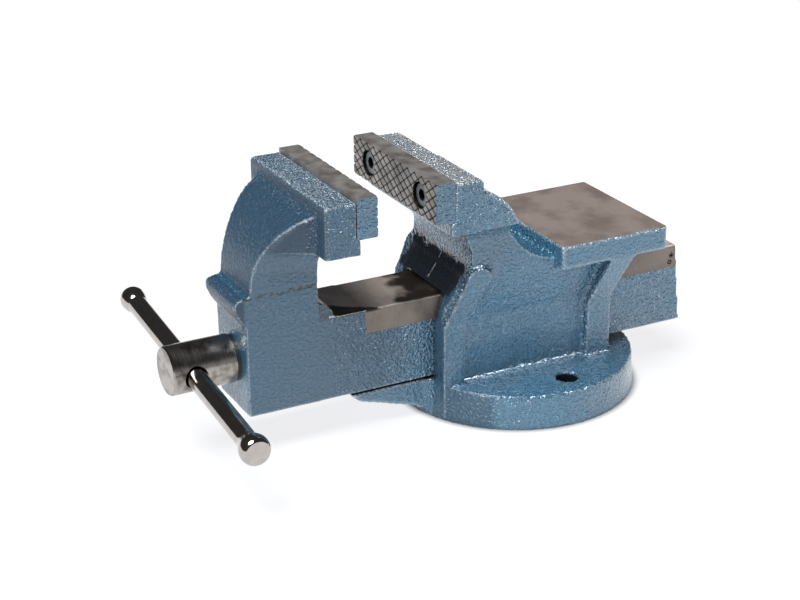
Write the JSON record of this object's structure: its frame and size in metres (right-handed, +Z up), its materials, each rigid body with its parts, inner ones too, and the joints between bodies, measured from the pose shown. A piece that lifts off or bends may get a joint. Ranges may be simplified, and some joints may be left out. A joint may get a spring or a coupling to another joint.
{
  "type": "bench vise",
  "caption": "Fixed-base bench vise with an anvil, a sliding jaw on a hollow beam, serrated jaw plates and a plated screw with a sliding handle bar.",
  "frame": {"origin": "centre of the round base on its bottom face", "axes": "+X along the screw towards the anvil, the handle end at -X; +Z up, out of the anvil's face"},
  "size_m": [0.327, 0.1896, 0.1515],
  "materials": {
    "blue_hammered_paint": "blue hammered enamel over rough grey cast iron, with machined bare faces on the anvil, the slide's top and its side strips",
    "hardened_plate_steel": "hardened steel jaw plates with cross-cut serrations, painted at their ends",
    "plated_steel": "bright nickel or chrome plating on turned steel",
    "machined_screw_steel": "turned steel, bright head, oily thread",
    "black_oxide_steel": "black oxide on socket head screws",
    "zinc_plated_steel": "zinc plating on washers, bolt and pins",
    "spring_steel": "oiled spring wire",
    "bare_cast_iron": "bare cast iron nut with an oily machined thread"
  },
  "bodies": {
    "fixed_body": {"fixed_jaw_body": "blue_hammered_paint", "fixed_jaw_plate": "hardened_plate_steel", "fixed_plate_screws": "black_oxide_steel", "spindle_nut": "bare_cast_iron", "nut_bolt": "zinc_plated_steel", "nut_lock_washer": "zinc_plated_steel", "nut_flat_washer": "zinc_plated_steel"},
    "sliding_jaw": {"sliding_jaw_body": "blue_hammered_paint", "sliding_jaw_plate": "hardened_plate_steel", "sliding_plate_screws": "black_oxide_steel", "slide_stop_pins": "spring_steel"},
    "screw": {"lead_screw": "machined_screw_steel", "thrust_washer": "zinc_plated_steel", "spring_front_washer": "zinc_plated_steel", "spindle_spring": "spring_steel", "spring_rear_washer": "zinc_plated_steel", "split_pin": "zinc_plated_steel"},
    "handle": {"handle_bar": "plated_steel", "handle_knob_near": "plated_steel", "handle_knob_far": "plated_steel"}
  },
  "joints": [
    {"name": "jaw_slide", "type": "slide", "parent": "fixed_body", "child": "sliding_jaw", "axis": [1, 0, 0], "range_m": [-0.064, 0.0345]},
    {"name": "screw_turn", "type": "hinge", "parent": "sliding_jaw", "child": "screw", "pos_m": [-0.2, 0, 0.0526], "axis": [1, 0, 0], "range_deg": [-4600, 2480]},
    {"name": "handle_slide", "type": "slide", "parent": "screw", "child": "handle", "axis": [0, 0.9952, 0.0976], "range_m": [-0.062, 0.065]}
  ],
  "couplings": [
    {"joint": "jaw_slide", "follows": "screw_turn", "m_per_rad": 0.00079577}
  ]
}
